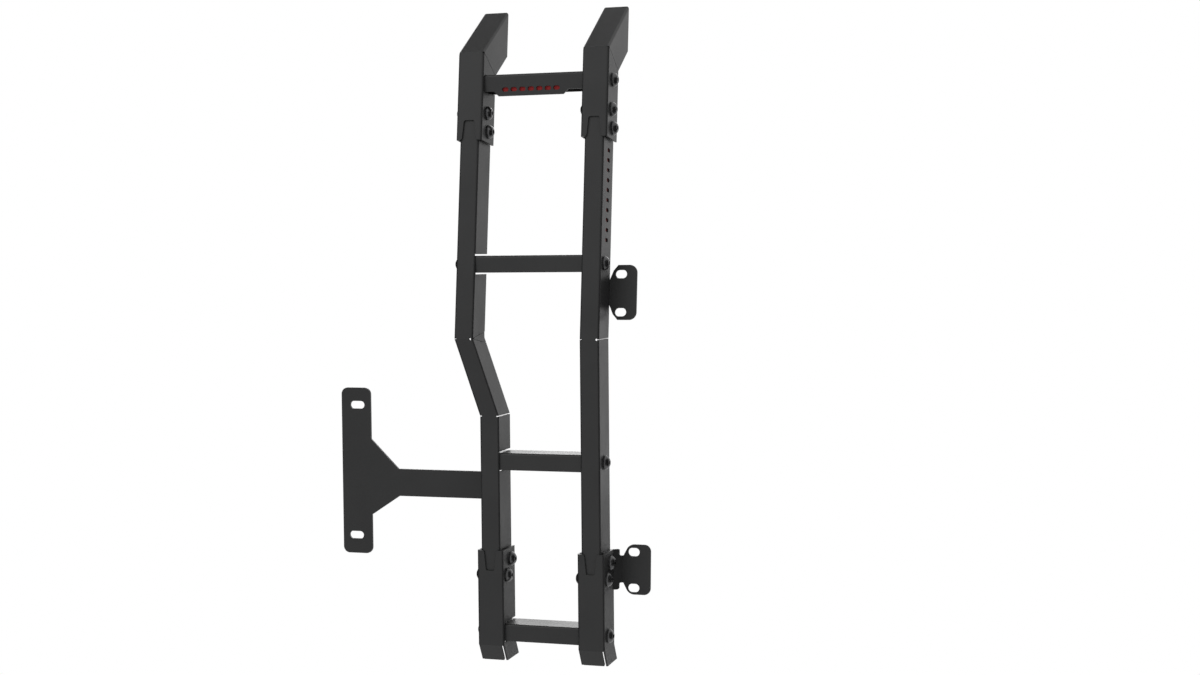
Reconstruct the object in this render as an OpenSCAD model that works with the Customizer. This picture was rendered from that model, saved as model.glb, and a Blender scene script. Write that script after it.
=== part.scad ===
// Ladder for a vehicle's rear door, bent from steel sheet.
// x runs along the rungs, y points towards the vehicle and z points up.
// The origin is the centre of the door plate's back face, the face that bolts to the door.
// Inside the modules x is measured from the middle of the lower rails,
// y from their front face and z from the bottom of the feet.

/* [Sheet] */

// Thickness of the bent sheet
sheet_t = 2.8; // [2:0.1:3.2]
// Outside radius of the long bends
bend_r = 3.8; // [3.4:0.1:5]
// Width of the cut seams at the mitred bends
seam = 0.8; // [0.5:0.1:1.2]
// Width of the seam at the lower end of the left rail's slant
jog_seam = 1.5; // [1:0.1:2]
// Radius of the relief holes where a seam meets a bend
relief_r = 1.7; // [1:0.1:2]
// Radius of the relief holes in the hooks' bent corners
mitre_r = 1.6; // [1:0.1:1.8]

/* [Rails] */

// Width over the outside of the lower rails
ladder_w = 193.6; // [185:0.1:260]
// Width of one rail, seen from the front
rail_w = 31; // [28:0.5:34]
// Depth of one rail
rail_d = 54; // [52:0.5:60]
// Height of the knee, where the rails start to lean
knee_z = 503.6; // [480:0.1:530]
// Lean of the upper rails, in degrees
lean = 6.87; // [4:0.01:9]
// Sideways step of the left rail
jog_x = 41.1; // [25:0.1:50]
// Height over which the left rail steps sideways
jog_h = 119.5; // [100:0.5:140]
// Height of the rails' lower end
rail_foot = 28.6; // [27.5:0.1:29]
// Length of the upper rails along their lean
upper_len = 446; // [440:1:448]

/* [Rungs] */

// Height of a rung
rung_h = 26.5; // [24:0.1:27.2]
// Depth of a rung, front to back
rung_d = 47.5; // [44:0.5:48]
// Distance of a rung's front behind the front of the rails
rung_set = 4.6; // [4.6:0.1:7]
// Height of the top step's upper face above the knee
rung_1_up = 412; // [409:0.1:414]
// Height of the second rung's upper face above the knee
rung_2_up = 129.1; // [122:0.1:150]
// Height of the third rung's upper face
rung_3_z = 326.8; // [322:0.1:335]
// Height of the lowest rung's upper face
rung_4_z = 59.5; // [58.5:0.1:61]
// Space over and under a rung where it passes through a rail or a foot
notch_gap = 2.5; // [2:0.1:3]
// Space over and under the top step where it passes through a hook
hook_gap = 0.6; // [0.5:0.1:1.5]
// Width of the tab under the top step's front, along its lower edge
step_tab_w = 106; // [100:1:110]
// Height of that tab
step_tab_h = 7.6; // [6:0.1:9]

/* [Hooks] */

// Depth of the sleeves' sides
sleeve_d = 56; // [54:0.5:58]
// Height of the openings in the sleeves' fronts
opening_h = 31; // [28:0.5:34]
// Lower edge of the top sleeves, along the lean from the knee
hook_low = 312.3; // [306:0.1:316]
// Bend line of the hooks, along the lean from the knee
hook_bend = 451.2; // [450:0.1:456]
// Angle of the hooks from upright, in degrees
hook_a = 57.1; // [52:0.1:62]
// Reach of the hooks behind the front of the leaning rails
hook_reach = 106; // [96:0.5:116]

/* [Feet] */

// Height of the bottom sleeves' upper edge
sleeve_top = 175.2; // [173:0.1:179]
// Height of the bend of the feet
foot_h = 26.6; // [24:0.1:27]
// Angle of the feet from upright, in degrees
foot_a = 30; // [25:0.5:35]
// Radius of the lower corners of a foot's front tongue
tongue_r = 2; // [1:0.1:3]

/* [Door plate] */

// Thickness of the door plate
plate_t = 4; // [3:0.5:6]
// Width of the door plate
plate_w = 50.5; // [46:0.5:60]
// Height of the door plate
plate_h = 269.4; // [262:0.1:290]
// Distance from the middle of the ladder to the middle of the door plate
plate_x = 329.7; // [300:0.1:350]
// Height of the door plate's middle
plate_z = 286.4; // [283:0.1:290]
// Height of the arm's middle
arm_z = 268.9; // [262:0.1:272]
// Height of the arm
arm_h = 43.6; // [36:0.1:48]
// Distance between the door plate's slots
plate_slots = 212.2; // [205:0.1:216]
// Sideways step of the upper slot from the plate's middle line, and of the lower slot the other way
slot_aside = 2.2; // [0:0.1:4]
// Length of the door plate's slots
slot_l = 25; // [20:0.5:28]
// Width of the door plate's slots
slot_w = 12.5; // [11:0.1:15]

/* [Hinge brackets] */

// Length of the hinge brackets' slots
hinge_slot_l = 18.2; // [17:0.1:20]
// Width of the hinge brackets' slots
hinge_slot_w = 13; // [11:0.1:14]
// Right edge of the upper hinge bracket
hinge_1_x = 140.2; // [137:0.1:146]
// Middle of the upper hinge bracket, along the lean from the knee
hinge_1_s = 77.6; // [74:0.1:80]
// Height of the upper hinge bracket
hinge_1_h = 85.4; // [82:0.1:90]
// Right edge of the lower hinge bracket
hinge_2_x = 158.3; // [156:0.1:162]
// Height of the lower hinge bracket's middle
hinge_2_z = 142.4; // [142:0.1:144]
// Height of the lower hinge bracket
hinge_2_h = 78; // [76:0.1:84]
// Front of the lower hinge bracket's plate behind the front of the rails
hinge_2_y = 66; // [62:0.5:72]
// Lean of the lower hinge bracket, in degrees
hinge_2_a = 3.7; // [0:0.1:7]

/* [Slot rows] */

// Number of slots in the top step's front
step_slots = 7; // [5:1:7]
// Distance between the top step's slots
step_pitch = 14; // [13:0.1:15]
// Length of the top step's slots
step_slot_l = 10.5; // [9:0.1:11.5]
// Width of the top step's slots
step_slot_w = 6.6; // [4:0.1:7]
// Number of slots in the right rail's side
rail_slots = 10; // [6:1:10]
// Distance between the rail's slots
rail_pitch = 15.5; // [13:0.1:16]
// Length of the rail's slots, across the side
rail_slot_l = 14; // [11:0.1:16]
// Width of the rail's slots
rail_slot_w = 6.2; // [4:0.1:8]
// Height of the rail's lowest slot, along the lean from the knee
rail_row_s = 156; // [152:1:156]
// Depth of the rail's slots behind its front
rail_row_d = 30; // [27:0.5:32]
// Thickness of the coloured strips behind the slots
strip_t = 1.2; // [0.8:0.1:1.6]
// Part of a coloured strip that shows past its slots, hidden behind the sheet
strip_over = 3; // [2:0.1:4]

/* [Bolt holes] */

// Radius of the bolt holes
hole_r = 5.3; // [4.3:0.1:5.5]
// Depth of the top step's bolts behind the rails' front
bolt_d1 = 24; // [20:0.5:28]
// Depth of the second rung's bolts
bolt_d2 = 20; // [18:0.5:28]
// Depth of the third rung's bolts
bolt_d3 = 27; // [20:0.5:30]
// Depth of the lowest rung's bolts
bolt_d4 = 21; // [18:0.5:28]
// Height of the top sleeves' upper bolts over the sleeves' lower edge
top_bolt_high = 45.7; // [44:0.1:48]
// Height of the top sleeves' lower bolts over the sleeves' lower edge
top_bolt_low = 17.7; // [15:0.1:20]
// Depth of the top sleeves' upper bolts
top_bolt_near = 21; // [20:0.5:24]
// Depth of the top sleeves' lower bolts
top_bolt_far = 29; // [26:0.5:32]
// Distance of the bottom sleeves' upper bolts under the sleeves' upper edge
low_bolt_high = 18; // [16:0.1:20]
// Distance of the bottom sleeves' lower bolts under the sleeves' upper edge
low_bolt_low = 40.5; // [39:0.1:44]
// Depth of the bottom sleeves' upper bolts
low_bolt_far = 35; // [32:0.5:37]
// Depth of the bottom sleeves' lower bolts
low_bolt_near = 17; // [15:0.5:20]

/* [Hidden] */

half_w = ladder_w / 2;
left_x = -half_w;
high_x = left_x - jog_x;
right_x = half_w - rail_w;
inner_w = rail_w - 2 * sheet_t;
sleeve_gap = sheet_t;
sleeve_w = rail_w + 2 * (sheet_t + sleeve_gap);
side_out = sleeve_w / 2 - rail_w / 2;
jog_a = atan(jog_x / jog_h);
mitre_a = (hook_a - lean) / 2;
back_y = rail_d;
step_x = (high_x + right_x + rail_w) / 2 - 4.6;
rung_1_z = knee_z + rung_1_up;
rung_2_z = knee_z + rung_2_up;
top_bolts = [[top_bolt_near, hook_low + top_bolt_high], [top_bolt_far, hook_low + top_bolt_low]];
low_bolts = [[low_bolt_far, sleeve_top - low_bolt_high], [low_bolt_near, sleeve_top - low_bolt_low]];
step_row_w = (step_slots - 1) * step_pitch;
rail_row_h = (rail_slots - 1) * rail_pitch;
coat = [0.075, 0.075, 0.08];
accent = [0.55, 0.03, 0.03];
far = 400;
$fn = 48;

// Moves a piece so that the door plate's back face holds the origin.
module to_origin() {
  translate([plate_x, -back_y - plate_t, -plate_z])
  children();
}

// Turns a piece into the lean of the upper rails, with the knee at zero.
module leaning() {
  translate([0, 0, knee_z])
  rotate([-lean, 0, 0])
  children();
}

// Stands a flat outline up in x and z, from y = 0 back to y = t.
module standing(t) {
  translate([0, t, 0])
  rotate([90, 0, 0])
  linear_extrude(t)
  children();
}

// Stands an outline of y and z up across x, from x = 0 to x = t.
module sideways(t) {
  rotate([90, 0, 90])
  linear_extrude(t)
  children();
}

// Outline with two rounded front corners and a straight back.
module front_round(w, d, r) {
  translate([0, r])
  square([w, d - r]);
  translate([r, 0])
  square([w - 2 * r, d]);
  translate([r, r])
  circle(r);
  translate([w - r, r])
  circle(r);
}

// Channel open to the back, standing on z = 0.
module channel(w, d, len) {
  linear_extrude(len)
  difference() {
    front_round(w, d, bend_r);
    translate([sheet_t, sheet_t])
    front_round(w - 2 * sheet_t, d, bend_r - sheet_t);
  }
}

// Slot outline with round ends, lying along the first axis.
module slot_outline(l, w) {
  square([l - w, w], center = true);
  translate([(l - w) / 2, 0])
  circle(w / 2);
  translate([-(l - w) / 2, 0])
  circle(w / 2);
}

// Rectangle with four round corners.
module round_plate(w, h, r) {
  square([w - 2 * r, h], center = true);
  square([w, h - 2 * r], center = true);
  for (sx = [-1, 1])
  for (sy = [-1, 1])
  translate([sx * (w / 2 - r), sy * (h / 2 - r)])
  circle(r);
}

// Opening in a sleeve's front: narrow at its round end, wide at the edge.
module sleeve_notch(narrow, wide, high) {
  r = 3;
  polygon([[-wide, 0], [wide, 0], [narrow, high - r], [-narrow, high - r]]);
  translate([-(narrow - r), 0])
  square([2 * (narrow - r), high]);
  for (side = [-1, 1])
  translate([side * (narrow - r), high - r])
  circle(r);
  for (side = [-1, 1])
  difference() {
    translate([side * (wide + r / 2), r / 2 - 0.5])
    square([r + 0.6, r + 1], center = true);
    translate([side * (wide + r), r])
    circle(r);
  }
}

// Height of a leaning rail's front, seen straight on, at height z.
function lean_y(z) = (z - knee_z) * tan(lean);

// Front of a rung, by the height of its middle.
function rung_y(top) = top - rung_h / 2 > knee_z ? lean_y(top - rung_h / 2) + rung_set : rung_set;

// Depth of a bolt's axis in a rung.
function bolt_y(top, depth) = rung_y(top) - rung_set + depth;

// Space that a rung needs where it passes through a side, with a gap over and under it.
module rung_space(x, top, gap) {
  translate([x, rung_y(top) - 1, top - rung_h - gap])
  cube([sheet_t + 2 * sleeve_gap + 4, far, rung_h + 2 * gap]);
}

// Hole across the ladder, at y and z, from x over the length given.
module cross_hole(x, y, z, len) {
  translate([x, y, z])
  rotate([0, 90, 0])
  cylinder(r = hole_r, h = len);
}

// Holes of the top sleeve's bolts, in the leaning position.
module top_holes(x, w) {
  leaning()
  for (b = top_bolts)
  cross_hole(x - 1, b[0], b[1], w + 2);
}

// Holes of the bottom sleeve's bolts.
module low_holes(x, w) {
  for (b = low_bolts)
  cross_hole(x - 1, b[0], b[1], w + 2);
}

// Slits through both bent corners and sides at a joint in the plane z = 0.
// The outer left edge is at x, the front face at y = 0.
module side_slits(x, w, gap) {
  for (edge = [x - 3, x + w - bend_r - 0.2])
  translate([edge, -1, -gap / 2])
  cube([bend_r + 3.2, far, gap]);
}

// Small relief holes through a hook's bent front corners, where its mitre ends.
module mitre_holes(x, w) {
  for (edge = [x - 1.4, x + w - sheet_t - 1.4])
  translate([edge, 2.3, 0])
  rotate([0, 90, 0])
  cylinder(r = mitre_r, h = sheet_t + 2.8);
}

// Small relief holes where the slits end in the front, beside its bent corners.
module relief_holes(x, w) {
  for (edge = [x + bend_r - 1.3, x + w - bend_r - 0.2])
  translate([edge, sheet_t + 1.2, 0])
  rotate([90, 0, 0])
  cylinder(r = relief_r, h = sheet_t + 2.4);
}

// Upper, leaning length of a rail.
module upper_rail(x) {
  difference() {
    leaning()
    translate([x, 0, 0])
    channel(rail_w, rail_d, upper_len);
    translate([x - 5, -20, knee_z - 40])
    cube([rail_w + 10, 120, 40]);
    translate([0, 0, knee_z])
    side_slits(x, rail_w, seam);
  }
}

// Row of slots through the right rail's side, which takes the place of lettering.
module rail_slot_row() {
  leaning()
  for (i = [0 : rail_slots - 1])
  translate([right_x + rail_w - sheet_t - 1, rail_row_d, rail_row_s + i * rail_pitch])
  sideways(sheet_t + 2)
  slot_outline(rail_slot_l, rail_slot_w);
}

// Slanting length of the left rail, between its lower and upper lengths.
module jog_length() {
  difference() {
    intersection() {
      translate([left_x, 0, knee_z - jog_h])
      rotate([0, -jog_a, 0])
      translate([0, 0, -20])
      channel(rail_w * cos(jog_a), rail_d, jog_h / cos(jog_a) + 40);
      translate([high_x - 30, -10, knee_z - jog_h])
      cube([jog_x + rail_w + 60, rail_d + 20, jog_h]);
    }
    translate([0, 0, knee_z - jog_h])
    side_slits(left_x, rail_w, jog_seam);
    translate([0, 0, knee_z])
    side_slits(high_x, rail_w, seam);
  }
}

module left_rail() {
  color(coat)
  to_origin()
  difference() {
    union() {
      difference() {
        translate([left_x, 0, rail_foot])
        channel(rail_w, rail_d, knee_z - jog_h - rail_foot);
        translate([0, 0, knee_z - jog_h])
        side_slits(left_x, rail_w, jog_seam);
      }
      jog_length();
      upper_rail(high_x);
    }
    translate([0, 0, knee_z])
    relief_holes(high_x, rail_w);
    translate([high_x + rail_w - sheet_t - 4, 2.3, knee_z + 0.6])
    sideways(14)
    polygon([[0, -0.8], [0, 0.8], [far, 61], [far, -63]]);
    for (spot = [[29.5, 6], [32.5, -5.4]])
    translate([high_x + rail_w - sheet_t - 1, spot[0], knee_z + spot[1]])
    rotate([0, 90, 0])
    cylinder(r = 1.2, h = 12);
    rung_space(left_x + rail_w - sheet_t - 2, rung_3_z, notch_gap);
    rung_space(high_x + rail_w - sheet_t - 2, rung_2_z, notch_gap);
    rung_space(high_x + rail_w - sheet_t - 2, rung_1_z, notch_gap);
    rung_space(left_x + rail_w - sheet_t - 2, rung_4_z, notch_gap);
    translate([left_x + rail_w - sheet_t - 2, rung_set - 1, 0])
    cube([sheet_t + 4, far, rung_4_z - rung_h]);
    cross_hole(high_x - 1, bolt_y(rung_1_z, bolt_d1), rung_1_z - rung_h / 2, sheet_t + 2);
    cross_hole(high_x - 1, bolt_y(rung_2_z, bolt_d2), rung_2_z - rung_h / 2, sheet_t + 2);
    cross_hole(left_x - 1, bolt_y(rung_3_z, bolt_d3), rung_3_z - rung_h / 2, sheet_t + 2);
    cross_hole(left_x - 1, bolt_y(rung_4_z, bolt_d4), rung_4_z - rung_h / 2, sheet_t + 2);
    top_holes(high_x, rail_w);
    low_holes(left_x, rail_w);
  }
}

module right_rail() {
  color(coat)
  to_origin()
  difference() {
    union() {
      difference() {
        translate([right_x, 0, rail_foot])
        channel(rail_w, rail_d, knee_z - rail_foot);
        translate([0, 0, knee_z])
        side_slits(right_x, rail_w, seam);
      }
      upper_rail(right_x);
    }
    translate([0, 0, knee_z])
    relief_holes(right_x, rail_w);
    rung_space(right_x - 2, rung_1_z, notch_gap);
    rung_space(right_x - 2, rung_2_z, notch_gap);
    rung_space(right_x - 2, rung_3_z, notch_gap);
    rung_space(right_x - 2, rung_4_z, notch_gap);
    translate([right_x - 2, rung_set - 1, 0])
    cube([sheet_t + 4, far, rung_4_z - rung_h]);
    cross_hole(right_x + rail_w - sheet_t - 1, bolt_y(rung_1_z, bolt_d1), rung_1_z - rung_h / 2, sheet_t + 2);
    cross_hole(right_x + rail_w - sheet_t - 1, bolt_y(rung_2_z, bolt_d2), rung_2_z - rung_h / 2, sheet_t + 2);
    cross_hole(right_x + rail_w - sheet_t - 1, bolt_y(rung_3_z, bolt_d3), rung_3_z - rung_h / 2, sheet_t + 2);
    cross_hole(right_x + rail_w - sheet_t - 1, bolt_y(rung_4_z, bolt_d4), rung_4_z - rung_h / 2, sheet_t + 2);
    top_holes(right_x, rail_w);
    low_holes(right_x, rail_w);
    rail_slot_row();
  }
}

// Bent strip inside the left rail that closes the open wedge at its knee.
module knee_gusset() {
  x = high_x + rail_w - sheet_t;
  bend_x = high_x + rail_w - sheet_t / cos(jog_a);
  low = 16 * tan(jog_a);
  depth = rail_d - bend_r - 3;
  color(coat)
  to_origin()
  translate([0, bend_r + 3, knee_z]) {
    standing(depth)
    polygon([
      [x, 18],
      [x - sheet_t, 18],
      [x - sheet_t, 0],
      [bend_x - sheet_t + low, -16],
      [bend_x + low, -16],
      [bend_x, 0],
      [x, 2]
    ]);
    intersection() {
      standing(depth)
      polygon([
        [x + sheet_t, 16],
        [x - 1, 16],
        [x - 1, 0],
        [bend_x + low - 1, -16],
        [x + sheet_t + low, -16],
        [x + sheet_t, 0]
      ]);
      translate([x - 5, 0, 0])
      sideways(20)
      polygon([[0, -0.5], [0, 1.6], [depth, 8.7], [depth, -7.8]]);
    }
  }
}

// One rung: an upside-down channel with an end tab turned down inside each rail.
module rung(x1, x2, top) {
  cut = bend_r + 2;
  tab = sheet_t + 1;
  translate([0, rung_y(top), top]) {
    translate([x1 + cut, 0, 0])
    rotate([0, 90, 0])
    linear_extrude(x2 - x1 - 2 * cut)
    rung_section();
    translate([0, tab, 0])
    standing(rung_d - 2 * tab)
    difference() {
      translate([x1, -rung_h])
      end_outline(x2 - x1, rung_h);
      translate([x1 + sheet_t, -rung_h - 1])
      square([x2 - x1 - 2 * sheet_t, rung_h - bend_r + 1]);
      translate([x1 + bend_r, -rung_h])
      square([x2 - x1 - 2 * bend_r, rung_h - sheet_t]);
      translate([x1 + bend_r, -bend_r])
      circle(bend_r - sheet_t);
      translate([x2 - bend_r, -bend_r])
      circle(bend_r - sheet_t);
    }
  }
}

// Outside outline of a rung seen from the front, with its two bends at the top.
module end_outline(w, h) {
  square([w, h - bend_r]);
  translate([bend_r, 0])
  square([w - 2 * bend_r, h]);
  translate([bend_r, h - bend_r])
  circle(bend_r);
  translate([w - bend_r, h - bend_r])
  circle(bend_r);
}

// Section of a rung: its height down the first axis, its depth along the second.
module rung_section() {
  difference() {
    section_block(rung_h, rung_d, bend_r);
    translate([sheet_t, sheet_t])
    section_block(rung_h, rung_d - 2 * sheet_t, bend_r - sheet_t);
  }
}

// Block whose two corners at zero height are rounded.
module section_block(h, d, r) {
  translate([r, 0])
  square([h - r, d]);
  translate([0, r])
  square([h, d - 2 * r]);
  translate([r, r])
  circle(r);
  translate([r, d - r])
  circle(r);
}

// Bolt holes through a rung's two end tabs.
module rung_holes(x1, x2, top, depth) {
  cross_hole(x1 - 1, bolt_y(top, depth), top - rung_h / 2, sheet_t + 2);
  cross_hole(x2 - sheet_t - 1, bolt_y(top, depth), top - rung_h / 2, sheet_t + 2);
}

module rung_1() {
  x1 = high_x + sheet_t;
  x2 = right_x + rail_w - sheet_t;
  color(coat)
  to_origin()
  difference() {
    union() {
      rung(x1, x2, rung_1_z);
      translate([step_x, rung_y(rung_1_z), rung_1_z - rung_h])
      standing(sheet_t)
      polygon([
        [-step_tab_w / 2 - 8, 1],
        [step_tab_w / 2 + 8, 1],
        [step_tab_w / 2 + 8, 0],
        [step_tab_w / 2, -step_tab_h],
        [-step_tab_w / 2, -step_tab_h],
        [-step_tab_w / 2 - 8, 0]
      ]);
    }
    rung_holes(x1, x2, rung_1_z, bolt_d1);
    translate([step_x - step_row_w / 2, rung_y(rung_1_z) - 1, rung_1_z - rung_h + 2.7])
    for (i = [0 : step_slots - 1])
    translate([i * step_pitch, 0, 0])
    standing(sheet_t + 2)
    slot_outline(step_slot_l, step_slot_w);
  }
}

module rung_2() {
  x1 = high_x + sheet_t;
  x2 = right_x + rail_w - sheet_t;
  color(coat)
  to_origin()
  difference() {
    rung(x1, x2, rung_2_z);
    rung_holes(x1, x2, rung_2_z, bolt_d2);
  }
}

module rung_3() {
  x1 = left_x + sheet_t;
  x2 = right_x + rail_w - sheet_t;
  color(coat)
  to_origin()
  difference() {
    rung(x1, x2, rung_3_z);
    rung_holes(x1, x2, rung_3_z, bolt_d3);
  }
}

module rung_4() {
  x1 = left_x + sheet_t;
  x2 = right_x + rail_w - sheet_t;
  color(coat)
  to_origin()
  difference() {
    rung(x1, x2, rung_4_z);
    rung_holes(x1, x2, rung_4_z, bolt_d4);
  }
}

// Half space above the mitre plane of a hook, over the width of one sleeve.
module above_mitre(x) {
  translate([x, -sheet_t, hook_bend])
  rotate([-mitre_a, 0, 0])
  translate([-10, -150, 0])
  cube([sleeve_w + 20, 500, 300]);
}

// Slits of a hook's mitre.
module mitre_slits(x) {
  translate([0, -sheet_t, hook_bend])
  rotate([-mitre_a, 0, 0])
  side_slits(x, sleeve_w, seam);
}

// Sleeve on a leaning rail that bends back into a hook.
module top_hook(rail_x, inner_x, outer_x) {
  x = rail_x - side_out;
  difference() {
    leaning()
    difference() {
      union() {
        difference() {
          translate([x, -sheet_t, hook_low])
          channel(sleeve_w, sleeve_d, hook_bend - hook_low + 30);
          above_mitre(x);
          mitre_slits(x);
        }
        difference() {
          intersection() {
            translate([x, -sheet_t, hook_bend])
            rotate([lean - hook_a, 0, 0])
            translate([0, 0, -60])
            channel(sleeve_w, sleeve_d, 300);
            above_mitre(x);
          }
          mitre_slits(x);
        }
      }
      translate([x - 10, hook_reach, 0])
      cube([sleeve_w + 20, 500, 900]);
      translate([0, -sheet_t, hook_bend])
      rotate([-mitre_a, 0, 0])
      mitre_holes(x, sleeve_w);
      translate([rail_x + rail_w / 2, -sheet_t - 1, hook_low])
      standing(sheet_t + 2)
      sleeve_notch(9, 11.5, opening_h);
    }
    top_holes(x, sleeve_w);
    rung_space(inner_x, rung_1_z, hook_gap);
    cross_hole(outer_x, bolt_y(rung_1_z, bolt_d1), rung_1_z - rung_h / 2, sheet_t + 2);
  }
}

module top_left_hook() {
  color(coat)
  to_origin()
  top_hook(high_x, high_x + rail_w - 1, high_x - side_out - 1);
}

module top_right_hook() {
  color(coat)
  to_origin()
  top_hook(right_x, right_x - side_out - 3, right_x + rail_w + side_out - sheet_t - 1);
}

// One side of a foot below its bend, as an outline of y and z.
// Its front edge stands back by the bend that is cut away there.
module foot_side() {
  back = foot_h * tan(foot_a);
  polygon([
    [bend_r - sheet_t, foot_h + 2],
    [bend_r - sheet_t, foot_h],
    [back + bend_r - sheet_t, 0],
    [back + sleeve_d - sheet_t, 0],
    [sleeve_d - sheet_t, foot_h],
    [sleeve_d - sheet_t, foot_h + 2]
  ]);
}

// Front tongue of a foot, bent back, as an outline of y and z.
module tongue() {
  long = (foot_h - 0.8) / cos(foot_a);
  low_y = long * sin(foot_a) - sheet_t;
  low_z = foot_h - long * cos(foot_a);
  polygon([
    [-sheet_t, foot_h + 4],
    [-sheet_t, foot_h],
    [low_y, low_z],
    [low_y + sheet_t * cos(foot_a), low_z + sheet_t * sin(foot_a)],
    [0, foot_h + sheet_t * tan(foot_a / 2)],
    [0, foot_h + 4]
  ]);
}

// Cutter that rounds one lower corner of a tongue. The side is 1 at the left and -1 at the right.
module tongue_corner(edge_x, side) {
  long = (foot_h - 0.8) / cos(foot_a);
  translate([edge_x, -sheet_t, foot_h])
  rotate([foot_a, 0, 0])
  translate([0, -1, -long])
  standing(sheet_t + 2)
  difference() {
    translate([side > 0 ? -1 : -tongue_r, -1])
    square([tongue_r + 1, tongue_r + 1]);
    translate([side * tongue_r, tongue_r])
    circle(tongue_r);
  }
}

// Sleeve on a lower rail that ends in a foot bent back.
module bottom_foot(rail_x, inner_x, outer_x) {
  x = rail_x - side_out;
  tongue_w = sleeve_w - 2 * bend_r;
  difference() {
    union() {
      translate([x, -sheet_t, foot_h])
      channel(sleeve_w, sleeve_d, sleeve_top - foot_h);
      translate([x, 0, 0])
      sideways(sheet_t)
      foot_side();
      translate([x + sleeve_w - sheet_t, 0, 0])
      sideways(sheet_t)
      foot_side();
      translate([x + bend_r, 0, 0])
      difference() {
        sideways(tongue_w)
        tongue();
        tongue_corner(0, 1);
        tongue_corner(tongue_w, -1);
      }
    }
    translate([x + sleeve_w / 2, -sheet_t - 1, sleeve_top])
    mirror([0, 0, 1])
    standing(sheet_t + 2)
    sleeve_notch(7.2, 10, opening_h + 0.5);
    low_holes(x, sleeve_w);
    rung_space(inner_x, rung_4_z, notch_gap);
    cross_hole(outer_x, bolt_y(rung_4_z, bolt_d4), rung_4_z - rung_h / 2, sheet_t + 2);
  }
}

module bottom_left_foot() {
  color(coat)
  to_origin()
  bottom_foot(left_x, left_x + rail_w - 1, left_x - side_out - 1);
}

module bottom_right_foot() {
  color(coat)
  to_origin()
  bottom_foot(right_x, right_x - side_out - 3, right_x + rail_w + side_out - sheet_t - 1);
}

// Plate for the door with an arm that ends across the back edges of the left rail.
module door_bracket() {
  arm_len = plate_x - plate_w / 2 + left_x + rail_w - 1.5;
  color(coat)
  to_origin()
  translate([-plate_x, back_y, 0])
  difference() {
    union() {
      translate([0, 0, plate_z])
      standing(plate_t)
      round_plate(plate_w, plate_h, 10.5);
      translate([plate_w / 2, 0, arm_z])
      standing(plate_t)
      polygon([
        [-6, arm_h / 2 + 53.6],
        [47.5, arm_h / 2],
        [arm_len, arm_h / 2],
        [arm_len, -arm_h / 2],
        [48.8, -arm_h / 2],
        [-6, -arm_h / 2 - 35.9]
      ]);
    }
    for (side = [-1, 1])
    translate([side * slot_aside, -1, plate_z + side * plate_slots / 2 + 0.8])
    standing(plate_t + 2)
    slot_outline(slot_l, slot_w);
  }
}

// Plate beside the leaning right rail whose neck lies across the rail's back edges.
module upper_hinge_bracket() {
  x = right_x + rail_w;
  h = hinge_1_h / 2;
  r = 12;
  color(coat)
  to_origin()
  leaning()
  translate([0, rail_d, hinge_1_s])
  standing(sheet_t)
  difference() {
    union() {
      translate([right_x + 1.4, -20])
      square([rail_w + 20, 40]);
      polygon([
        [x, -20],
        [x + 5.8, -34],
        [x + 13.2, -h],
        [hinge_1_x - r, -h],
        [hinge_1_x - r, h],
        [x + 13.2, h],
        [x + 5.8, 34],
        [x, 20]
      ]);
      translate([x + 10, -h + r])
      square([hinge_1_x - x - 10, 2 * h - 2 * r]);
      for (side = [-1, 1])
      translate([hinge_1_x - r, side * (h - r)])
      circle(r);
    }
    for (side = [-1, 1])
    translate([x + 18.1, side * 29.6 - 1.2])
    slot_outline(hinge_slot_l, hinge_slot_w);
  }
}

// Outline of the lower hinge bracket seen from the front: its step, narrow waist and plate.
module hinge_outline() {
  x = right_x + rail_w;
  h = hinge_2_h / 2;
  r = 10.5;
  lobe_r = 14;
  lobe_x = x + 35.5;
  lobe_z = h - lobe_r;
  difference() {
    union() {
      translate([x - 5, -31.4])
      square([14.6, 62.8]);
      translate([x, -29])
      square([12, 58]);
      for (side = [-1, 1])
      translate([x + 9.6, side * 29])
      circle(2.4);
      translate([x, -23.4])
      square([20, 46.8]);
      polygon([
        [x + 17.5, -21],
        [lobe_x - 12.33, -lobe_z - 6.6],
        [lobe_x, -lobe_z],
        [lobe_x, lobe_z],
        [lobe_x - 12.33, lobe_z + 6.6],
        [x + 17.5, 21]
      ]);
      for (side = [-1, 1])
      translate([lobe_x, side * lobe_z])
      circle(lobe_r);
      translate([lobe_x, -h])
      square([hinge_2_x - r - lobe_x, 2 * h]);
      translate([lobe_x, -h + r])
      square([hinge_2_x - lobe_x, 2 * h - 2 * r]);
      for (side = [-1, 1])
      translate([hinge_2_x - r, side * (h - r)])
      circle(r);
    }
    for (side = [-1, 1])
    translate([x + 14.4, side * 23.4]) {
      circle(2.4);
      translate([2, 0])
      circle(2.4);
      translate([0, -2.4])
      square([2, 4.8]);
    }
    for (side = [-1, 1])
    translate([x + 34.6, side * 27.9 - 0.9])
    slot_outline(hinge_slot_l, hinge_slot_w);
  }
}

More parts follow.
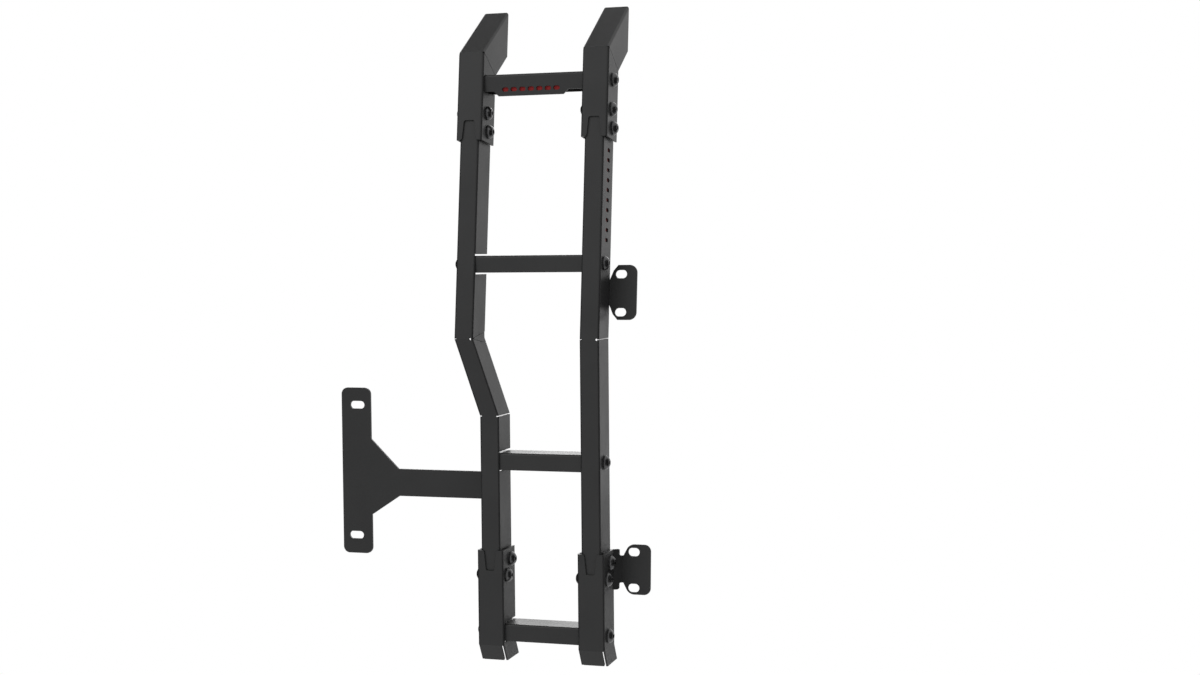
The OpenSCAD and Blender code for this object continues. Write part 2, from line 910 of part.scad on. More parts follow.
// Plate that starts flat between the right rail and its sleeve, then steps outwards.
module lower_hinge_bracket() {
  x = right_x + rail_w;
  turn = sheet_t * tan(22.5);
  start = back_y - 1.8;
  step = hinge_2_y - start;
  h = hinge_2_h / 2 + 2;
  color(coat)
  to_origin()
  difference() {
    translate([0, hinge_2_y, hinge_2_z])
    rotate([-hinge_2_a, 0, 0])
    intersection() {
      translate([0, -hinge_2_y, -h])
      linear_extrude(2 * h)
      polygon([
        [x, 6],
        [x + sheet_t, 6],
        [x + sheet_t, start],
        [x + sheet_t + step, hinge_2_y],
        [hinge_2_x + 5, hinge_2_y],
        [hinge_2_x + 5, hinge_2_y + sheet_t],
        [x + sheet_t + step - turn, hinge_2_y + sheet_t],
        [x, start + turn]
      ]);
      translate([0, -hinge_2_y - 10, 0])
      standing(hinge_2_y + 30)
      hinge_outline();
    }
    low_holes(right_x, sleeve_w);
  }
}

// Coloured strip behind the top step's slots.
module step_backing() {
  w = step_row_w + step_slot_l + 2 * strip_over;
  h = step_slot_w + 2 * strip_over;
  color(accent)
  to_origin()
  translate([step_x - w / 2, rung_y(rung_1_z) + sheet_t, rung_1_z - rung_h + 2.7 - step_slot_w / 2 - 1])
  cube([w, strip_t, h - strip_over + 1]);
}

// Coloured strip behind the slots in the right rail's side.
module rail_backing() {
  w = rail_slot_l + 2 * strip_over;
  h = rail_row_h + rail_slot_w + 2 * strip_over;
  color(accent)
  to_origin()
  leaning()
  translate([
    right_x + rail_w - sheet_t - strip_t,
    rail_row_d - w / 2,
    rail_row_s - rail_slot_w / 2 - strip_over
  ])
  cube([strip_t, w, h]);
}

left_rail();
right_rail();
knee_gusset();
rung_1();
rung_2();
rung_3();
rung_4();
top_left_hook();
top_right_hook();
bottom_left_foot();
bottom_right_foot();
door_bracket();
upper_hinge_bracket();
lower_hinge_bracket();
step_backing();
rail_backing();
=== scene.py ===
import math
import random

import bmesh
import bpy
from mathutils import Euler, Matrix, Vector


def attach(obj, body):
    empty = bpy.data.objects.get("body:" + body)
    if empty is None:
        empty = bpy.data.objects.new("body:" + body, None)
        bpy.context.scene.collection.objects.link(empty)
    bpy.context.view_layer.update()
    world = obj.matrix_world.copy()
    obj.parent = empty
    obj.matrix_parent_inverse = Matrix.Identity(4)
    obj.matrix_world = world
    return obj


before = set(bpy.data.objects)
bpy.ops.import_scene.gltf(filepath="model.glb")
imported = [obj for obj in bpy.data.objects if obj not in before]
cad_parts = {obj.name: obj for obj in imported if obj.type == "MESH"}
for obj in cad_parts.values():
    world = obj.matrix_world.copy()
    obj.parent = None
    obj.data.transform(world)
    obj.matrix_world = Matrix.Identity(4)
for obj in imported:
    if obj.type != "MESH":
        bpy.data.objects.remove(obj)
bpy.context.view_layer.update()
random.seed(7)
print("ladder loaded,", len(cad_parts), "solids")

# where the ladder's own middle line at foot level sits in the shared frame
ladderSpot = Vector((0.3297, -0.058, -0.2864))

photoCamera = {
    "place": Vector((1.13484, -2.47915, 0.33925)),
    "yaw": 16.26,
    "pitch": 2.69,
    "roll": 0.49,
    "lens": 50.0,
    "sensor": 36,
    "clip": (0.05, 80),
}


def addCamera(c):
    yaw, pitch, roll = (math.radians(c[k]) for k in ("yaw", "pitch", "roll"))
    level = math.cos(pitch)
    ahead = Vector((-math.sin(yaw) * level, math.cos(yaw) * level, -math.sin(pitch)))
    right = Vector((math.cos(yaw), math.sin(yaw), 0))
    up = right.cross(ahead)
    rolledRight = right * math.cos(roll) - up * math.sin(roll)
    rolledUp = right * math.sin(roll) + up * math.cos(roll)
    data = bpy.data.cameras.new("photoCamera")
    data.lens = c["lens"]
    data.sensor_width = c["sensor"]
    data.clip_start, data.clip_end = c["clip"]
    cam = bpy.data.objects.new("photoCamera", data)
    turned = Matrix((rolledRight, rolledUp, -ahead)).transposed().to_4x4()
    cam.matrix_world = Matrix.Translation(c["place"]) @ turned
    bpy.context.scene.collection.objects.link(cam)
    bpy.context.scene.camera = cam


addCamera(photoCamera)
print("camera placed")


def addNode(tree, kind, at, **settings):
    node = tree.nodes.new(kind)
    node.location = at
    for name, value in settings.items():
        setattr(node, name, value)
    return node


def setInputs(node, values):
    for name, value in values.items():
        node.inputs[name].default_value = value
    return node


def mapRange(tree, source, fromRange, toRange, at):
    node = addNode(tree, "ShaderNodeMapRange", at)
    for slot, value in enumerate((*fromRange, *toRange), start=1):
        node.inputs[slot].default_value = value
    tree.links.new(source, node.inputs[0])
    return node.outputs[0]


def mathNode(tree, operation, first, second, at):
    node = addNode(tree, "ShaderNodeMath", at, operation=operation)
    for slot, value in enumerate((first, second)):
        if isinstance(value, (int, float)):
            node.inputs[slot].default_value = value
        else:
            tree.links.new(value, node.inputs[slot])
    return node.outputs[0]


def noiseAt(tree, vector, scale, detail, at, roughness=0.5):
    node = addNode(tree, "ShaderNodeTexNoise", at)
    node.inputs["Detail"].default_value = detail
    node.inputs["Roughness"].default_value = roughness
    tree.links.new(vector, node.inputs["Vector"])
    if isinstance(scale, (int, float)):
        node.inputs["Scale"].default_value = scale
    else:
        tree.links.new(scale, node.inputs["Scale"])
    return node.outputs["Fac"]


def newGroup(name, inputs, outputs):
    tree = bpy.data.node_groups.new(name, "ShaderNodeTree")
    for label, kind, start in inputs:
        socket = tree.interface.new_socket(label, in_out="INPUT", socket_type=kind)
        if start is not None:
            socket.default_value = start
    for label, kind in outputs:
        tree.interface.new_socket(label, in_out="OUTPUT", socket_type=kind)
    given = addNode(tree, "NodeGroupInput", (-900, 0))
    made = addNode(tree, "NodeGroupOutput", (900, 0))
    return tree, given, made


noiseSpan = (0.35, 0.65)  # most of a noise texture's values lie between these

# baked powder: fine sandy grain over a soft orange peel, with slow changes of gloss
grainMix = {
    "fineInHeight": 0.45,
    "fineInGloss": 0.4,
    "mottleInGloss": 0.6,
    "fineDetail": 2,
    "peelDetail": 1,
    "mottleDetail": 4,
    "mottleRoughness": 0.6,
}


def makeCoatGrain(g):
    tree, given, made = newGroup(
        "coatGrain",
        [
            ("Vector", "NodeSocketVector", None),
            ("Grain Size", "NodeSocketFloat", 1300.0),
            ("Peel Size", "NodeSocketFloat", 210.0),
            ("Mottle Size", "NodeSocketFloat", 11.0),
        ],
        [
            ("Height", "NodeSocketFloat"),
            ("Gloss", "NodeSocketFloat"),
            ("Mottle", "NodeSocketFloat"),
        ],
    )
    where = given.outputs["Vector"]
    sizes = ("Grain Size", "Peel Size", "Mottle Size")
    fineSize, peelSize, mottleSize = (given.outputs[k] for k in sizes)
    fine = noiseAt(tree, where, fineSize, g["fineDetail"], (-650, 250))
    peel = noiseAt(tree, where, peelSize, g["peelDetail"], (-650, 50))
    rugged = g["mottleRoughness"]
    mottle = noiseAt(tree, where, mottleSize, g["mottleDetail"], (-650, -150), rugged)
    fineHeight = mathNode(tree, "MULTIPLY", fine, g["fineInHeight"], (-400, 250))
    height = mathNode(tree, "ADD", fineHeight, peel, (-150, 200))
    fineGloss = mathNode(tree, "MULTIPLY", fine, g["fineInGloss"], (-400, 0))
    mottleGloss = mathNode(tree, "MULTIPLY", mottle, g["mottleInGloss"], (-400, -150))
    gloss = mathNode(tree, "ADD", fineGloss, mottleGloss, (-150, -50))
    patches = mapRange(tree, mottle, noiseSpan, (0, 1), (-150, -250))
    tree.links.new(height, made.inputs["Height"])
    tree.links.new(gloss, made.inputs["Gloss"])
    tree.links.new(patches, made.inputs["Mottle"])
    return tree


# a mask along sharp edges, broken up by noise, and a normal that rounds them off
edgeMask = {
    "turnOfNormal": (0.995, 0.86),  # dot product of the flat and the rounded normal
    "breakSpan": (0.42, 0.6),
    "leastKept": 0.15,
    "breakDetail": 3,
    "breakRoughness": 0.65,
    "bevelSamples": 4,
}


def makeEdgeWear(e):
    tree, given, made = newGroup(
        "edgeWear",
        [
            ("Vector", "NodeSocketVector", None),
            ("Width", "NodeSocketFloat", 0.0008),
            ("Break Up", "NodeSocketFloat", 260.0),
        ],
        [("Edge", "NodeSocketFloat"), ("Normal", "NodeSocketVector")],
    )
    rounded = addNode(tree, "ShaderNodeBevel", (-650, 100), samples=e["bevelSamples"])
    tree.links.new(given.outputs["Width"], rounded.inputs["Radius"])
    flat = addNode(tree, "ShaderNodeNewGeometry", (-650, -100))
    dot = addNode(tree, "ShaderNodeVectorMath", (-420, 50), operation="DOT_PRODUCT")
    tree.links.new(rounded.outputs["Normal"], dot.inputs[0])
    tree.links.new(flat.outputs["Normal"], dot.inputs[1])
    band = mapRange(tree, dot.outputs["Value"], e["turnOfNormal"], (0, 1), (-200, 50))
    where, breakSize = given.outputs["Vector"], given.outputs["Break Up"]
    rugged = e["breakRoughness"]
    breakUp = noiseAt(tree, where, breakSize, e["breakDetail"], (-420, -250), rugged)
    kept = mapRange(tree, breakUp, e["breakSpan"], (e["leastKept"], 1), (-200, -250))
    tree.links.new(mathNode(tree, "MULTIPLY", band, kept, (200, 0)), made.inputs["Edge"])
    tree.links.new(rounded.outputs["Normal"], made.inputs["Normal"])
    return tree


# settled dust, thicker on faces that look up
dustFall = {
    "upSpan": (0.2, 0.95),  # upward part of the normal
    "leastOnSides": 0.12,
    "patchSpan": (0.4, 0.7),
    "leastBetween": 0.25,
    "patchDetail": 5,
    "patchRoughness": 0.62,
}


def makeDust(d):
    tree, given, made = newGroup(
        "dustFilm",
        [("Vector", "NodeSocketVector", None), ("Patch Size", "NodeSocketFloat", 24.0)],
        [("Dust", "NodeSocketFloat")],
    )
    facing = addNode(tree, "ShaderNodeSeparateXYZ", (-420, 150))
    surface = addNode(tree, "ShaderNodeNewGeometry", (-650, 150))
    tree.links.new(surface.outputs["Normal"], facing.inputs[0])
    upward = mapRange(tree, facing.outputs["Z"], d["upSpan"], (d["leastOnSides"], 1), (-200, 150))
    where, patchSize = given.outputs["Vector"], given.outputs["Patch Size"]
    rugged = d["patchRoughness"]
    patch = noiseAt(tree, where, patchSize, d["patchDetail"], (-420, -100), rugged)
    patchy = mapRange(tree, patch, d["patchSpan"], (d["leastBetween"], 1), (-200, -100))
    tree.links.new(mathNode(tree, "MULTIPLY", upward, patchy, (100, 50)), made.inputs["Dust"])
    return tree


coatGrain = makeCoatGrain(grainMix)
edgeWear = makeEdgeWear(edgeMask)
dustFilm = makeDust(dustFall)


def placeGroup(tree, group, at, vector, values):
    node = addNode(tree, "ShaderNodeGroup", at, node_tree=group)
    tree.links.new(vector, node.inputs["Vector"])
    return setInputs(node, values)


def blendColour(tree, amount, first, second, at):
    mix = addNode(tree, "ShaderNodeMix", at, data_type="RGBA")
    tree.links.new(amount, mix.inputs["Factor"])
    for slot, value in ((6, first), (7, second)):
        if isinstance(value, tuple):
            mix.inputs[slot].default_value = (*value, 1)
        else:
            tree.links.new(value, mix.inputs[slot])
    return mix.outputs[2]


def newMaterial(name):
    material = bpy.data.materials.new(name)
    material.use_nodes = True
    tree = material.node_tree
    shader = tree.nodes["Principled BSDF"]
    shader.location = (700, 0)
    tree.nodes["Material Output"].location = (1000, 0)
    spot = addNode(tree, "ShaderNodeTexCoord", (-1000, 0)).outputs["Object"]
    return material, tree, shader, spot


dustDulling = 0.5  # how much full dust adds to the roughness

# one recipe for everything that is painted, stamped or turned here, with its own values
def makeFinish(name, f):
    material, tree, shader, spot = newMaterial(name)
    grainSizes = {"Grain Size": f["grain"], "Peel Size": f["peel"], "Mottle Size": f["mottle"]}
    wearSizes = {"Width": f["edgeWidth"], "Break Up": f["breakUp"]}
    grain = placeGroup(tree, coatGrain, (-700, 300), spot, grainSizes)
    wear = placeGroup(tree, edgeWear, (-700, 0), spot, wearSizes)
    dust = placeGroup(tree, dustFilm, (-700, -300), spot, {"Patch Size": f["dustPatch"]})
    base = blendColour(tree, grain.outputs["Mottle"], f["dark"], f["light"], (-350, 400))
    edgeAmount = mathNode(tree, "MULTIPLY", wear.outputs["Edge"], f["edgeAmount"], (-350, 120))
    worn = blendColour(tree, edgeAmount, base, f["edgeColour"], (-100, 350))
    dustAmount = mathNode(tree, "MULTIPLY", dust.outputs["Dust"], f["dustAmount"], (-350, -300))
    dusty = blendColour(tree, dustAmount, worn, f["dustColour"], (150, 300))
    tree.links.new(dusty, shader.inputs["Base Color"])
    roughSpan = (f["roughLow"], f["roughHigh"])
    rough = mapRange(tree, grain.outputs["Gloss"], noiseSpan, roughSpan, (-350, -50))
    dulled = mathNode(tree, "MULTIPLY", dustAmount, dustDulling, (-100, -250))
    tree.links.new(mathNode(tree, "ADD", rough, dulled, (100, -100)), shader.inputs["Roughness"])
    bump = addNode(tree, "ShaderNodeBump", (350, -300))
    setInputs(bump, {"Strength": f["bump"], "Distance": f["bumpDepth"]})
    tree.links.new(grain.outputs["Height"], bump.inputs["Height"])
    tree.links.new(wear.outputs["Normal"], bump.inputs["Normal"])
    tree.links.new(bump.outputs["Normal"], shader.inputs["Normal"])
    setInputs(shader, {"Metallic": f["metallic"], "IOR": f["ior"]})
    return material


blackCoat = makeFinish("blackPowderCoat", {
    "dark": (0.0225, 0.0227, 0.0231),
    "light": (0.0285, 0.0287, 0.0291),
    "grain": 1300.0,
    "peel": 210.0,
    "mottle": 11.0,
    "roughLow": 0.36,
    "roughHigh": 0.46,
    "edgeWidth": 0.0005,
    "edgeColour": (0.035, 0.035, 0.036),
    "edgeAmount": 0.35,
    "breakUp": 260.0,
    "dustColour": (0.10, 0.097, 0.09),
    "dustAmount": 0.035,
    "dustPatch": 24.0,
    "bump": 0.35,
    "bumpDepth": 0.00012,
    "metallic": 0.0,
    "ior": 1.36,
})

redLacquer = makeFinish("redBackingLacquer", {
    "dark": (0.27, 0.011, 0.012),
    "light": (0.32, 0.015, 0.015),
    "grain": 1500.0,
    "peel": 260.0,
    "mottle": 30.0,
    "roughLow": 0.42,
    "roughHigh": 0.55,
    "edgeWidth": 0.0004,
    "edgeColour": (0.42, 0.06, 0.05),
    "edgeAmount": 0.4,
    "breakUp": 300.0,
    "dustColour": (0.25, 0.16, 0.13),
    "dustAmount": 0.03,
    "dustPatch": 40.0,
    "bump": 0.25,
    "bumpDepth": 0.0001,
    "metallic": 0.0,
    "ior": 1.3,
})

boltBlack = makeFinish("blackenedBoltSteel", {
    "dark": (0.075, 0.075, 0.077),
    "light": (0.105, 0.105, 0.107),
    "grain": 2200.0,
    "peel": 500.0,
    "mottle": 60.0,
    "roughLow": 0.24,
    "roughHigh": 0.34,
    "edgeWidth": 0.0003,
    "edgeColour": (0.22, 0.21, 0.20),
    "edgeAmount": 0.25,
    "breakUp": 700.0,
    "dustColour": (0.10, 0.097, 0.09),
    "dustAmount": 0.04,
    "dustPatch": 80.0,
    "bump": 0.2,
    "bumpDepth": 0.00005,
    "metallic": 0.9,
    "ior": 1.5,
})

redNodes = ("step_backing", "rail_backing")
for nodeName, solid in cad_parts.items():
    finish = redLacquer if nodeName in redNodes else blackCoat
    if not solid.data.materials:
        solid.data.materials.append(finish)
    for slotIndex in range(len(solid.data.materials)):
        solid.data.materials[slotIndex] = finish
print("finishes made and laid on the solids")

# sheet metal of the rails, sleeves and rungs, as the solids have it
sheetThick = 0.0028

# button-head bolt with a thin flange, its washer, its spacer ring and the nut inside the rail
bolt = {
    "flangeRadius": 0.0112,
    "flangeHeight": 0.0012,
    "flangeChamfer": 0.0003,
    "flangeRound": 0.0004,
    "domeRadius": 0.0108,
    "domeHeight": 0.0069,
    "domeSphere": 0.0120,
    "topRadius": 0.0050,
    "socketRadius": 0.0032,
    "socketRim": 0.0006,
    "socketChamfer": 0.0004,
    "socketDepth": 0.0036,
    "socketTip": 0.0009,
    "socketTipShare": 0.05,
    "shankRadius": 0.0048,
    "shankOver": 0.0022,
    "shankChamfer": 0.0008,
    "poleRadius": 0.0001,
    "threadPitch": 0.0015,
    "threadDepth": 0.0007,
    "washerRadius": 0.0100,
    "washerHeight": 0.0014,
    "boreGap": 0.0002,
    "nutAcross": 0.0085,
    "nutHeight": 0.0050,
    "nutBevel": 0.0006,
    "spacerRadius": 0.0095,
    "steps": 48,
    "domeSteps": 9,
    "smoothAngle": 30,
}
mergeGap = 1e-6
rimGap = 1e-5


def spinProfile(bm, profile, steps):
    verts = [bm.verts.new((r, 0, z)) for r, z in profile]
    edges = [bm.edges.new(pair) for pair in zip(verts, verts[1:])]
    bmesh.ops.spin(
        bm, geom=verts + edges, cent=(0, 0, 0), axis=(0, 0, 1),
        angle=math.tau, steps=steps, use_merge=True,
    )


def rimAt(bm, radius, height):
    def onRim(v):
        return abs(v.co.z - height) < mergeGap and abs(v.co.xy.length - radius) < rimGap
    return [e for e in bm.edges if e.is_boundary and all(onRim(v) for v in e.verts)]


def ofKind(geom, kind):
    return [g for g in geom if isinstance(g, kind)]


def hexRadius(angle, corner):
    sixth = math.radians(60)
    return corner * math.cos(sixth / 2) / math.cos((angle % sixth) - sixth / 2)


def boltHead(b):
    bm = bmesh.new()
    flange, flangeTop = b["flangeRadius"], b["flangeHeight"]
    profile = [
        (b["shankRadius"], 0),
        (flange - b["flangeChamfer"], 0),
        (flange, b["flangeChamfer"]),
        (flange, flangeTop - b["flangeRound"]),
        (flange - b["flangeRound"], flangeTop),
    ]
    sphere = b["domeSphere"]
    rimAngle, topAngle = (math.asin(b[k] / sphere) for k in ("domeRadius", "topRadius"))
    middle = b["domeHeight"] - sphere * math.cos(topAngle)
    for i in range(b["domeSteps"] + 1):
        angle = rimAngle + (topAngle - rimAngle) * i / b["domeSteps"]
        profile.append((sphere * math.sin(angle), middle + sphere * math.cos(angle)))
    holeRadius = b["socketRadius"] + b["socketRim"]
    profile.append((holeRadius, b["domeHeight"]))
    spinProfile(bm, profile, b["steps"])
    # the socket: the top rim drawn in to a hexagon, then sunk, then closed
    rim = rimAt(bm, holeRadius, b["domeHeight"])
    stages = (
        (b["socketChamfer"], 1.0),
        (b["socketDepth"], 1.0),
        (b["socketDepth"] + b["socketTip"], b["socketTipShare"]),
    )
    for drop, share in stages:
        made = bmesh.ops.extrude_edge_only(bm, edges=rim)["geom"]
        rim = ofKind(made, bmesh.types.BMEdge)
        for v in ofKind(made, bmesh.types.BMVert):
            angle = math.atan2(v.co.y, v.co.x)
            reach = hexRadius(angle, b["socketRadius"]) * share
            v.co = (math.cos(angle) * reach, math.sin(angle) * reach, b["domeHeight"] - drop)
    bmesh.ops.holes_fill(bm, edges=rim)
    return bm


def addShank(bm, b, top, length):
    r, pitch = b["shankRadius"], b["threadPitch"]
    profile = [(r, top), (r, 0)] if top else [(r, 0)]
    z = 0.0
    while z > pitch - length:
        profile += [(r - b["threadDepth"], z - pitch / 2), (r, z - pitch)]
        z -= pitch
    profile += [(r - b["shankChamfer"], -length), (b["poleRadius"], -length)]
    spinProfile(bm, profile, b["steps"])
    bmesh.ops.holes_fill(bm, edges=rimAt(bm, b["poleRadius"], -length))


def addNut(bm, b, top):
    part = bmesh.new()
    corner = b["nutAcross"] / math.cos(math.radians(30))
    bmesh.ops.create_circle(part, cap_ends=True, radius=corner, segments=6)
    lifted = bmesh.ops.extrude_face_region(part, geom=part.faces[:])["geom"]
    underside = ofKind(lifted, bmesh.types.BMVert)
    bmesh.ops.translate(part, verts=underside, vec=(0, 0, -b["nutHeight"]))
    bmesh.ops.bevel(
        part, geom=part.edges[:], offset=b["nutBevel"], affect="EDGES",
        segments=2, profile=0.5, material=-1,
    )
    bmesh.ops.recalc_face_normals(part, faces=part.faces[:])
    bmesh.ops.translate(part, verts=part.verts[:], vec=(0, 0, top))
    joinInto(bm, part)


def addRing(bm, b, outer, top, thick):
    part = bmesh.new()
    inner, low = b["shankRadius"] + b["boreGap"], top - thick
    profile = [(inner, top), (outer, top), (outer, low), (inner, low), (inner, top)]
    spinProfile(part, profile, b["steps"])
    bmesh.ops.remove_doubles(part, verts=part.verts[:], dist=mergeGap)
    bmesh.ops.recalc_face_normals(part, faces=part.faces[:])
    joinInto(bm, part)


def joinInto(bm, part):
    mesh = bpy.data.meshes.new("loose")
    part.to_mesh(mesh)
    part.free()
    bm.from_mesh(mesh)
    bpy.data.meshes.remove(mesh)


def finishPiece(name, bm, material, smoothAngle):
    mesh = bpy.data.meshes.new(name)
    bm.to_mesh(mesh)
    bm.free()
    mesh.materials.append(material)
    for polygon in mesh.polygons:
        polygon.use_smooth = True
    mesh.set_sharp_from_angle(angle=math.radians(smoothAngle))
    piece = bpy.data.objects.new(name, mesh)
    bpy.context.scene.collection.objects.link(piece)
    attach(piece, "root")
    return piece


def addBolt(name, b, place, side, layers, spaced):
    head = boltHead(b)
    seat = b["washerHeight"] if side > 0 else 0  # the bolts put in from the left have no washer
    bmesh.ops.translate(head, verts=head.verts[:], vec=(0, 0, seat))
    gap = sheetThick if spaced else 0
    grip = layers * sheetThick + gap
    addShank(head, b, seat, grip + b["nutHeight"] + b["shankOver"])
    bmesh.ops.remove_doubles(head, verts=head.verts[:], dist=mergeGap)
    bmesh.ops.recalc_face_normals(head, faces=head.faces[:])
    addNut(head, b, -grip)
    if seat:
        addRing(head, b, b["washerRadius"], seat, seat)
    if gap:
        addRing(head, b, b["spacerRadius"], -sheetThick, gap)
    spun = Matrix.Rotation(random.uniform(0, math.tau), 4, "Z")
    aside = Matrix.Rotation(math.radians(90) * side, 4, "Y")
    spot = Matrix.Translation(ladderSpot + place)
    bmesh.ops.transform(head, matrix=spot @ aside @ spun, verts=head.verts[:])
    piece = finishPiece(name, head, boltBlack, b["smoothAngle"])


# where the solids have their bolt holes: depth behind the rails' fronts, then height;
# the top sleeve's heights are from the knee, along the leaning rail
boltRows = {
    "knee": 0.5036,
    "lean": math.radians(6.87),
    "topSleeve": [(0.021, 0.358), (0.029, 0.330)],
    "lowSleeve": [(0.035, 0.1572), (0.017, 0.1347)],
    "rungTops": [0.9156, 0.6327, 0.3268, 0.0595],
    "rungDepths": [0.024, 0.020, 0.027, 0.021],
    "rungHeight": 0.0265,
    "leftRail": {"upper": -0.1379, "lower": -0.0968},
    "rightRail": {"upper": 0.0658, "lower": 0.0658},
    "railWidth": 0.031,
    "sleeveOut": 0.0056,
}


def addSleeveBolts(r, railName):
    lean = r["lean"]
    for endName, holes in (("upper", r["topSleeve"]), ("lower", r["lowSleeve"])):
        low = r[railName][endName] - r["sleeveOut"]
        high = low + r["railWidth"] + 2 * r["sleeveOut"]
        for i, (depth, up) in enumerate(holes):
            y, z = depth, up
            if endName == "upper":
                y = up * math.sin(lean) + depth * math.cos(lean)
                z = r["knee"] + up * math.cos(lean) - depth * math.sin(lean)
            stem = f"bolt_{railName}_{endName}_{i + 1}"
            addBolt(stem + "_a", bolt, Vector((low, y, z)), -1, 2, True)
            addBolt(stem + "_b", bolt, Vector((high, y, z)), 1, 2, True)


def addRungBolts(r, railName):
    side = -1 if railName == "leftRail" else 1
    for i, (top, depth) in enumerate(zip(r["rungTops"], r["rungDepths"])):
        z = top - r["rungHeight"] / 2
        y = depth + max(0, z - r["knee"]) * math.tan(r["lean"])
        rail = r[railName]["upper" if i < 2 else "lower"]
        x = rail if side < 0 else rail + r["railWidth"]
        sleeved = i in (0, 3)  # the top and bottom rungs' bolts pass a sleeve too
        if sleeved:
            x += side * r["sleeveOut"]
        layers = 3 if sleeved else 2
        addBolt(f"bolt_{railName}_rung_{i + 1}", bolt, Vector((x, y, z)), side, layers, sleeved)


for railName in ("leftRail", "rightRail"):
    addSleeveBolts(boltRows, railName)
    addRungBolts(boltRows, railName)
print("bolts, washers, spacers and nuts placed")


# plain white studio: open floor well below the feet, as under a vehicle's door
studio = {
    "floorHeight": -1.10,
    "floorSize": 60.0,
    "floorPaint": 0.8,
    "skyLevel": 0.60,
    "shadowPaint": 0.5,  # the floor as the camera sees it near the ladder: paint and glow
    "shadowGlow": 0.58,
    "clearCentre": (0.2, 0.3),
    "clearRadius": 1.3,
    "fadeRadius": 2.3,
    "lampTarget": (0.25, 0.0, 0.25),
}

lamps = [
    {"name": "frontSoftbox", "place": (-1.4, -1.9, 2.4), "size": (1.6, 1.4), "power": 22},
    {"name": "backSoftbox", "place": (-0.65, 3.3, 1.25), "size": (1.6, 1.3), "power": 24},
]

# black and grey cards out of the picture, seen only in the gloss, that keep folded edges dark
flags = [
    {
        "name": "leftFlag",
        "place": (-1.15, 0.7, 0.1),
        "size": (4.4, 3.4),
        "turn": (0, 90, 0),
        "shade": (0.02, 0.02),
    },
    {
        "name": "rightFlag",
        "place": (1.75, -0.2, -0.2),
        "size": (2.4, 3.2),
        "turn": (0, 90, 0),
        "shade": (0.02, 0.02),
    },
    {
        "name": "topFlag",
        "place": (-1.05, 0.6, 2.3),
        "size": (2.6, 2.4),
        "turn": (0, 0, 0),
        "shade": (0.34, 0.34),
    },
    {
        "name": "backCard",
        "place": (1.55, 2.6, -1.1),
        "size": (3.4, 1.2),
        "turn": (0, 90, 70),
        "shade": (0.9, 1.0),
    },
]

flagWeave = {
    "scale": 400.0,
    "span": (0.3, 0.7),
    "roughness": (0.85, 0.95),
    "climb": (-0.4, 0.9),
}


def grey(level):
    return level, level, level, 1


def mixShaders(tree, amount, first, second, at):
    mix = addNode(tree, "ShaderNodeMixShader", at)
    for slot, source in enumerate((amount, first, second)):
        tree.links.new(source, mix.inputs[slot])
    return mix.outputs[0]


# one for what the camera sees straight, in gloss and through glass, else nought
def seenDirectly(tree):
    path = addNode(tree, "ShaderNodeLightPath", (-900, 300))
    camera, glossy = path.outputs["Is Camera Ray"], path.outputs["Is Glossy Ray"]
    seen = mathNode(tree, "MAXIMUM", camera, glossy, (-700, 300))
    return mathNode(tree, "MAXIMUM", seen, path.outputs["Is Transmission Ray"], (-500, 300))


def addWorld(s):
    world = bpy.data.worlds.new("studioWorld")
    world.use_nodes = True
    tree = world.node_tree
    tree.nodes.clear()
    lit = addNode(tree, "ShaderNodeBackground", (-300, 0))
    setInputs(lit, {"Color": grey(1), "Strength": s["skyLevel"]})
    shown = addNode(tree, "ShaderNodeBackground", (-300, -150))
    setInputs(shown, {"Color": grey(1), "Strength": 1})
    mixed = mixShaders(tree, seenDirectly(tree), lit.outputs[0], shown.outputs[0], (0, 0))
    out = addNode(tree, "ShaderNodeOutputWorld", (200, 0))
    tree.links.new(mixed, out.inputs[0])
    bpy.context.scene.world = world


def floorMaterial(s):
    material = bpy.data.materials.new("paleFloor")
    material.use_nodes = True
    tree = material.node_tree
    tree.nodes.clear()
    spot = addNode(tree, "ShaderNodeTexCoord", (-1300, 0)).outputs["Object"]
    flat = addNode(tree, "ShaderNodeVectorMath", (-1100, 0), operation="MULTIPLY_ADD")
    tree.links.new(spot, flat.inputs[0])
    flat.inputs[1].default_value = (1, 1, 0)
    flat.inputs[2].default_value = (-s["clearCentre"][0], -s["clearCentre"][1], 0)
    away = addNode(tree, "ShaderNodeVectorMath", (-900, 0), operation="LENGTH")
    tree.links.new(flat.outputs[0], away.inputs[0])
    fadeSpan = (s["clearRadius"], s["fadeRadius"])
    fade = mapRange(tree, away.outputs["Value"], fadeSpan, (0, 1), (-700, 0))
    paint = addNode(tree, "ShaderNodeBsdfDiffuse", (-500, -200))
    setInputs(paint, {"Color": grey(s["floorPaint"])})
    shadowed = addNode(tree, "ShaderNodeBsdfDiffuse", (-700, -350))
    setInputs(shadowed, {"Color": grey(s["shadowPaint"])})
    glow = addNode(tree, "ShaderNodeEmission", (-700, -500))
    setInputs(glow, {"Strength": s["shadowGlow"]})
    near = addNode(tree, "ShaderNodeAddShader", (-500, -400))
    tree.links.new(shadowed.outputs[0], near.inputs[0])
    tree.links.new(glow.outputs[0], near.inputs[1])
    white = addNode(tree, "ShaderNodeEmission", (-500, -600))
    seen = mixShaders(tree, fade, near.outputs[0], white.outputs[0], (-250, -400))
    mixed = mixShaders(tree, seenDirectly(tree), paint.outputs[0], seen, (0, 0))
    out = addNode(tree, "ShaderNodeOutputMaterial", (200, 0))
    tree.links.new(mixed, out.inputs[0])
    return material


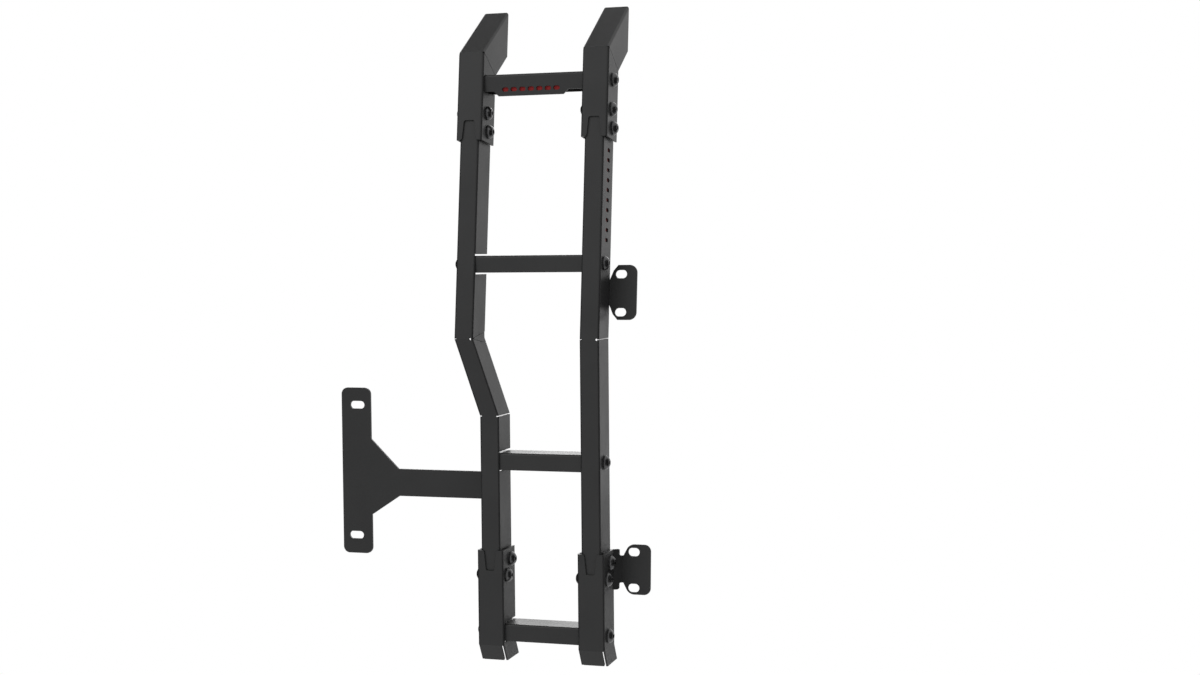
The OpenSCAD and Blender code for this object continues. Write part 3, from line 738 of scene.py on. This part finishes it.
def addFloor(s):
    bm = bmesh.new()
    bmesh.ops.create_grid(bm, x_segments=2, y_segments=2, size=s["floorSize"] / 2)
    under = (s["clearCentre"][0], 0, s["floorHeight"])
    bmesh.ops.translate(bm, verts=bm.verts[:], vec=under)
    mesh = bpy.data.meshes.new("studioFloor")
    bm.to_mesh(mesh)
    bm.free()
    mesh.materials.append(floorMaterial(s))
    floor = bpy.data.objects.new("studioFloor", mesh)
    bpy.context.scene.collection.objects.link(floor)


def addLamp(l, target):
    data = bpy.data.lights.new(l["name"], "AREA")
    data.shape = "RECTANGLE"
    data.size, data.size_y = l["size"]
    data.energy = l["power"]
    lamp = bpy.data.objects.new(l["name"], data)
    place = Vector(l["place"])
    aimed = (Vector(target) - place).to_track_quat("-Z", "Y").to_matrix().to_4x4()
    lamp.matrix_world = Matrix.Translation(place) @ aimed
    lamp.visible_camera = False
    bpy.context.scene.collection.objects.link(lamp)


# cloth that goes from one shade at the foot to another at the top, by height in the scene
def flagCloth(name, shade, w):
    material, tree, shader, spot = newMaterial(name)
    weave = noiseAt(tree, spot, w["scale"], 2, (-700, 0))
    rough = mapRange(tree, weave, w["span"], w["roughness"], (-400, 0))
    tree.links.new(rough, shader.inputs["Roughness"])
    height = addNode(tree, "ShaderNodeSeparateXYZ", (-700, 250))
    tree.links.new(spot, height.inputs[0])
    climb = mapRange(tree, height.outputs["Z"], w["climb"], (0, 1), (-400, 250))
    foot, top = ((s, s, s) for s in shade)
    tree.links.new(blendColour(tree, climb, foot, top, (0, 200)), shader.inputs["Base Color"])
    return material


def addFlag(f):
    bm = bmesh.new()
    bmesh.ops.create_grid(bm, x_segments=1, y_segments=1, size=0.5)
    turn = Euler([math.radians(a) for a in f["turn"]]).to_matrix().to_4x4()
    grow = Matrix.Diagonal((f["size"][1], f["size"][0], 1, 1))
    placed = Matrix.Translation(f["place"]) @ turn @ grow
    bmesh.ops.transform(bm, matrix=placed, verts=bm.verts[:])
    mesh = bpy.data.meshes.new(f["name"])
    bm.to_mesh(mesh)
    bm.free()
    mesh.materials.append(flagCloth(f["name"] + "Cloth", f["shade"], flagWeave))
    flag = bpy.data.objects.new(f["name"], mesh)
    flag.visible_camera = False
    flag.visible_shadow = False
    flag.visible_diffuse = False
    bpy.context.scene.collection.objects.link(flag)


addWorld(studio)
addFloor(studio)
for flag in flags:
    addFlag(flag)
for lamp in lamps:
    addLamp(lamp, studio["lampTarget"])
bpy.context.scene.view_settings.view_transform = "Standard"
print("studio set")
